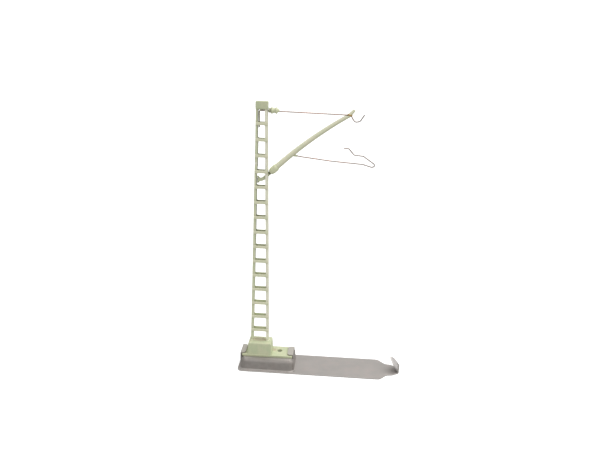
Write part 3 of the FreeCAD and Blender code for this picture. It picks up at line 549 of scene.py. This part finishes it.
def make_solder():
    """Solder scorched golden brown round the joint."""
    g = Graph("solder_scorched")
    tone = g.ramp(g.noise(*SOLDER_TONE_GRAIN), 0.35, 0.65)
    base = g.mix(tone, SOLDER_GOLD, SOLDER_BROWN)
    base = g.layer(base, g.edges(SOLDER_RIM_MM), 0.5, SOLDER_PALE)
    lumps = g.noise(*SOLDER_LUMP_GRAIN)
    normal = g.bump(lumps, SOLDER_LUMP_MM, g.soft_normal(SOLDER_ROUNDING_MM))
    rough = g.vary(g.noise(*SOLDER_GLOSS_GRAIN), 0.34, 0.5)
    g.finish(g.node("BsdfPrincipled", Base_Color=base, Metallic=SOLDER_METAL, Roughness=rough,
                    Normal=normal))
    return g.material


# nodes that get a lighter, lit copy of the paint instead of their material slot's: painted light
LIT_PAINT_COPIES = {"bracket_arm": "lit_coat_mid", "left_post": "lit_coat_low", "right_post": "lit_coat_high"}

# the paint and its lighter, lit copies (painted light): key, material name, two tints, share of
# painted highlight on upper faces and painted shade on lower ones
COATS = [("green_paint", "green_paint_worn", PAINT_COOL, PAINT_WARM, 0.0),
         ("lit_coat_low", "green_paint_lit_low", LIT_LOW_COOL, LIT_LOW_WARM, 0.6),
         ("lit_coat_mid", "green_paint_lit_mid", LIT_MID_COOL, LIT_MID_WARM, 0.5),
         ("lit_coat_high", "green_paint_lit_high", LIT_HIGH_COOL, LIT_HIGH_WARM, 0.3)]


def make_finishes():
    """A finish for each material slot, and lighter, lit copies of the paint for the thin members:
    painted light.
    """
    finishes = {key: make_green_paint(*coat) for key, *coat in COATS}
    finishes["bare_steel"] = make_bare_steel()
    finishes["copper_wire"] = make_copper_wire()
    finishes["green_moulding"] = make_green_moulding()
    finishes["solder"] = make_solder()
    return finishes


def dress_nodes(finishes):
    """Give every CAD node the finish of its material slot, or its lighter, lit copy of the paint.
    """
    for part in frame["record"]["subparts"]:
        node = nodes[part["node"]]
        node.data.materials.clear()
        coat = LIT_PAINT_COPIES.get(part["node"], part["material_slot"])
        node.data.materials.append(finishes[coat])


# ---------------------------------------------------------------- new pieces

POST_WIDTH_MM = 0.8
POST_COAT_MM = 0.18
# heights between which the left post's inner side is bare of thick paint, round the pivots
BARE_HEIGHTS_MM = ((72.5, 79.8), (91.5, 110.0))
POST_EDGE_MM = 0.07
POST_EDGE_STEPS = 3
POST_STEP_MM = 1.9
# waviness of the posts: axis, size, seed and length, in millimetres
POST_WAVES = ((0, 0.05, 3.0, 4.0), (1, 0.025, 9.0, 5.0))
POST_WAVE_SHARE = 0.3
SHARP_ANGLE = 35
FLAT_ANGLE = 1
WELD_MM = 1e-4

JOINT_INSET_MM = 0.06
JOINT_SWELL_MM = 0.12
JOINT_FADE_MM = 0.22
# places of a batten's sections: in from its end, from the post's inner side, shares of the half
END_STATIONS_MM = (0, 0.05, 0.12)
JOINT_STATIONS_MM = (-0.3, -0.1, 0, 0.1, 0.22, 0.4)
MIDDLE_SHARES = (-0.5, -0.25, 0.0)
END_ROUNDING_MM = 0.12
END_TUCK_MM = 0.05
BATTEN_EDGE_MM = 0.09
BATTEN_WAVE_MM = 0.035
BATTEN_WAVE_LENGTH_MM = 2.3
BATTEN_LIFT_MM = 0.02
BATTEN_LIFT_LENGTH_MM = 1.7
# seeds of the waves: the front battens', how far the top's is from the bottom's, the lift's
FRONT_SEED = 11.0
TOP_SEED = 5
LIFT_SEED = 7.0
CORNER_STEPS = 3

MOUND_LEVELS = 5
MOUND_SIDES = 28
MOUND_EDGE = 0.22
MOUND_LUMP = 0.3
MOUND_LUMP_MM = 0.7
MOUND_TOP = 0.03
MOUND_SINK_MM = 0.02
FILLET_REACH_MM = (0.95, 1.35)
FILLET_HEIGHT_MM = 0.35
RESIDUE_REACH_MM = (2.6, 1.25)
RESIDUE_HEIGHT_MM = 0.16
RESIDUE_DEPTH_MM = 0.2
RESIDUE_SEED = 5.0

BEAD_SHIFT_MM = 0.35
BEAD_DEPTH_MM = -0.12
BEAD_REACH_MM = (0.95, 0.66, 0.5)
BEAD_TILT = 12
BEAD_SEED = 3.0
BLOB_LEVELS = 4
BLOB_LUMP = 0.16
BLOB_LUMPS = 1.6

INSULATOR_LIFT_MM = 0.2
INSULATOR_SIDES = 40
# pairs of place along the wire from the insulator's middle, and radius
INSULATOR_PROFILE_MM = [
    (-1.85, 0.55), (-1.82, 0.74), (-1.72, 0.82), (-1.3, 0.84), (-1.14, 0.8), (-1.04, 0.82),
    (-0.96, 0.98), (-0.86, 1.14), (-0.7, 1.22), (-0.5, 1.2), (-0.38, 1.1), (-0.28, 0.96),
    (-0.16, 0.9), (0.12, 0.87), (0.44, 0.88), (0.58, 0.92), (0.7, 1.06), (0.82, 1.17),
    (0.98, 1.2), (1.14, 1.15), (1.24, 1.0), (1.32, 0.82), (1.46, 0.68), (1.66, 0.6),
    (1.86, 0.58), (1.96, 0.5), (2.03, 0.3)]


def add_piece(name, build, body, finish, replaced=()):
    """A smooth-shaded piece that rides on a body, in millimetres until it is handed over."""
    piece = add_mesh(name, build)
    piece.data.transform(Matrix.Scale(MM, 4))
    for face in piece.data.polygons:
        face.use_smooth = True
    piece.data.materials.append(finish)
    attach(piece, body)
    if replaced:
        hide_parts(*replaced)


def box_mm(node):
    """The two corners of a CAD node's box, in millimetres."""
    low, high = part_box(node)
    return Vector(low) / MM, Vector(high) / MM


def loft(shape, rings):
    """Join rings of equal length by quads, and close the two ends."""
    made = [[shape.verts.new(point) for point in ring] for ring in rings]
    count = len(made[0])
    for near, far in zip(made, made[1:]):
        for i in range(count):
            j = (i + 1) % count
            shape.faces.new((near[i], near[j], far[j], far[i]))
    shape.faces.new(list(reversed(made[0])))
    shape.faces.new(made[-1])
    bmesh.ops.recalc_face_normals(shape, faces=shape.faces)


def wave(x, y, z, size):
    """A smooth value from -1 to 1 that changes over about the given length."""
    return noise.noise(Vector((x, y, z)) / size)


def rounded_ring(x, y_low, y_high, z_low, z_high, radius):
    """A rectangle with rounded corners across the X axis."""
    ring = []
    left, right = y_low + radius, y_high - radius
    bottom, top = z_low + radius, z_high - radius
    for turn, y, z in ((0, right, top), (90, left, top), (180, left, bottom), (270, right, bottom)):
        for step in range(CORNER_STEPS + 1):
            angle = math.radians(turn + 90 * step / CORNER_STEPS)
            ring.append((x, y + radius * math.cos(angle), z + radius * math.sin(angle)))
    return ring


def painted_batten(node, seed):
    """A builder of a strip with rounded edges whose ends swell into the paint over the joints."""
    low, high = box_mm(node)
    outward = -1 if low.y < 0 else 1

    def build(shape):
        middle = (low.x + high.x) / 2
        half = (high.x - low.x) / 2
        inner = half - POST_WIDTH_MM - POST_COAT_MM + JOINT_INSET_MM
        stations = [place - half for place in END_STATIONS_MM]
        stations += [place - inner for place in JOINT_STATIONS_MM]
        stations += [inner * share for share in MIDDLE_SHARES]
        stations += [-x for x in reversed(stations[:-1])]
        rings = []
        for x in stations:
            along = max(0.0, inner - abs(x))
            swell = JOINT_SWELL_MM * math.exp(-(along / JOINT_FADE_MM) ** 2)
            end = min(1.0, (half - abs(x)) / END_ROUNDING_MM)
            tuck = END_TUCK_MM * (1 - math.sqrt(max(0.0, 1 - (1 - end) ** 2)))
            under, over = (BATTEN_WAVE_MM * wave(middle + x, seed, z, BATTEN_WAVE_LENGTH_MM)
                           for z in (low.z, high.z + TOP_SEED))
            z_low = low.z - swell + tuck + under
            z_high = high.z + swell - tuck + over
            lift = BATTEN_LIFT_MM * wave(middle + x, LIFT_SEED, low.z, BATTEN_LIFT_LENGTH_MM)
            y_outer = (low.y if outward < 0 else high.y) + outward * lift - outward * tuck
            y_inner = high.y if outward < 0 else low.y
            y_low, y_high = sorted((y_outer, y_inner))
            rings.append(rounded_ring(middle + x, y_low, y_high, z_low, z_high, BATTEN_EDGE_MM))
        loft(shape, rings)
    return build


def painted_post(node, side):
    """A builder of the post's own solid under thick paint that has gathered on its inner side.

    Side is -1 for the left post and 1 for the right one. The edges are rounded and the faces
    are a little wavy.
    """
    source = nodes[node].data
    low, high = box_mm(node)
    foot_x, head_x = (low.x, high.x) if side < 0 else (high.x, low.x)
    foot_x -= side * POST_WIDTH_MM / 2
    head_x += side * POST_WIDTH_MM / 2

    def build(shape):
        shape.from_mesh(source)
        bmesh.ops.scale(shape, vec=(1 / MM,) * 3, verts=shape.verts)
        bmesh.ops.remove_doubles(shape, verts=shape.verts, dist=WELD_MM)
        bmesh.ops.dissolve_limit(shape, angle_limit=math.radians(FLAT_ANGLE), verts=shape.verts,
                                 edges=shape.edges)
        sharp = [edge for edge in shape.edges if len(edge.link_faces) == 2
                 and edge.calc_face_angle() > math.radians(SHARP_ANGLE)]
        bmesh.ops.bevel(shape, geom=sharp, offset=POST_EDGE_MM, segments=POST_EDGE_STEPS,
                        profile=0.5, affect="EDGES", clamp_overlap=True)
        bottom = min(vert.co.z for vert in shape.verts)
        top = max(vert.co.z for vert in shape.verts)
        level = bottom + POST_STEP_MM
        while level < top - POST_STEP_MM / 2:
            bmesh.ops.bisect_plane(shape, geom=shape.verts[:] + shape.edges[:] + shape.faces[:],
                                   plane_co=(0, 0, level), plane_no=(0, 0, 1))
            level += POST_STEP_MM
        for vert in shape.verts:
            rise = (vert.co.z - low.z) / (high.z - low.z)
            bare = side < 0 and any(lo < vert.co.z < hi for lo, hi in BARE_HEIGHTS_MM)
            if (vert.co.x - foot_x - (head_x - foot_x) * rise) * side < 0 and not bare:
                vert.co.x -= side * POST_COAT_MM
            for axis, size, seed, length in POST_WAVES:
                vert.co[axis] += size * wave(vert.co.x * POST_WAVE_SHARE, seed, vert.co.z, length)
        bmesh.ops.triangulate(shape, faces=[f for f in shape.faces if len(f.verts) > 4])
    return build


def mound(centre, reach, height, seed):
    """A builder of a low lumpy puddle that lies on a level face."""
    def build(shape):
        rings = []
        for level in range(MOUND_LEVELS + 1):
            share = level / MOUND_LEVELS
            ring = []
            for i in range(MOUND_SIDES):
                turn = 2 * math.pi * i / MOUND_SIDES
                across, deep = math.cos(turn), math.sin(turn)
                edge = 1 + MOUND_EDGE * wave(across * 2, deep * 2, seed, 1.0)
                wide = math.sqrt(1 - share ** 2) if share < 1 else MOUND_TOP
                x = centre[0] + reach[0] * wide * edge * across
                y = centre[1] + reach[1] * wide * edge * deep
                lump = 1 + MOUND_LUMP * wave(x, y, seed, MOUND_LUMP_MM)
                ring.append((x, y, centre[2] + height * share * lump - MOUND_SINK_MM))
            rings.append(ring)
        loft(shape, rings)
    return build


def blob(centre, reach, tilt, seed):
    """A builder of a closed lumpy drop round a joint."""
    def build(shape):
        bmesh.ops.create_icosphere(shape, subdivisions=BLOB_LEVELS, radius=1.0)
        turn = Matrix.Rotation(math.radians(tilt), 3, "Y")
        for vert in shape.verts:
            way = vert.co.normalized()
            x, y, z = (part * BLOB_LUMPS for part in way)
            lump = 1 + BLOB_LUMP * wave(x, y, z + seed, 1.0)
            spot = Vector([part * size for part, size in zip(way, reach)]) * lump
            vert.co = turn @ spot + Vector(centre)
    return build


def lathe_along_x(centre, profile, sides):
    """A builder of a round body from pairs of place along X and radius."""
    def build(shape):
        turns = [2 * math.pi * i / sides for i in range(sides)]
        rings = []
        for along, radius in profile:
            rings.append([(centre.x + along, centre.y + radius * math.cos(turn),
                           centre.z + radius * math.sin(turn)) for turn in turns])
        loft(shape, rings)
    return build


def make_insulator(finishes):
    """The small insulator on the upper wire: two soft-edged sheds, lifted a little on the wire."""
    low, high = box_mm("tie_insulator")
    middle = (low + high) / 2
    middle.z += INSULATOR_LIFT_MM
    turned = lathe_along_x(middle, INSULATOR_PROFILE_MM, INSULATOR_SIDES)
    add_piece("tie_insulator_moulded", turned, "bracket",
              finishes["green_moulding"], ["tie_insulator"])


def make_posts_and_battens(finishes):
    """Both posts and all battens under their paint."""
    for node, side in (("left_post", -1), ("right_post", 1)):
        add_piece(node + "_painted", painted_post(node, side), "mast",
                  finishes[LIT_PAINT_COPIES[node]], [node])
    for part in frame["record"]["subparts"]:
        node = part["node"]
        if "_batten_" in node:
            front = node.startswith("front")
            # front battens get a lighter, lit copy of the paint and back battens the plain paint:
            # painted light
            add_piece(node + "_painted", painted_batten(node, front * FRONT_SEED), "mast",
                      finishes["lit_coat_mid" if front else "green_paint"], [node])


def make_joints(finishes):
    """Solder at the arm's tip, and the flux and paint left round the posts' feet."""
    low, high = box_mm("tip_solder")
    middle = (low + high) / 2
    centre = (middle.x + BEAD_SHIFT_MM, BEAD_DEPTH_MM, middle.z)
    add_piece("tip_solder_bead", blob(centre, BEAD_REACH_MM, BEAD_TILT, BEAD_SEED), "bracket",
              finishes["solder"], ["tip_solder"])
    foot = box_mm("foot_casting")[1].z
    left_x = box_mm("left_post")[0].x
    right_x = box_mm("right_post")[1].x
    half = POST_WIDTH_MM / 2
    for node, x, seed in (("left_post", left_x + half, 1.0), ("right_post", right_x - half, 2.0)):
        puddle = mound((x, 0, foot), FILLET_REACH_MM, FILLET_HEIGHT_MM, seed)
        add_piece(node + "_foot_fillet", puddle, "mast", finishes["lit_coat_low"])
    centre = ((left_x + right_x) / 2, RESIDUE_DEPTH_MM, foot)
    add_piece("pedestal_residue", mound(centre, RESIDUE_REACH_MM, RESIDUE_HEIGHT_MM, RESIDUE_SEED),
              "mast", finishes["green_paint"])


make_camera()
make_lights()
make_stage()
finishes = make_finishes()
dress_nodes(finishes)
make_posts_and_battens(finishes)
make_joints(finishes)
make_insulator(finishes)
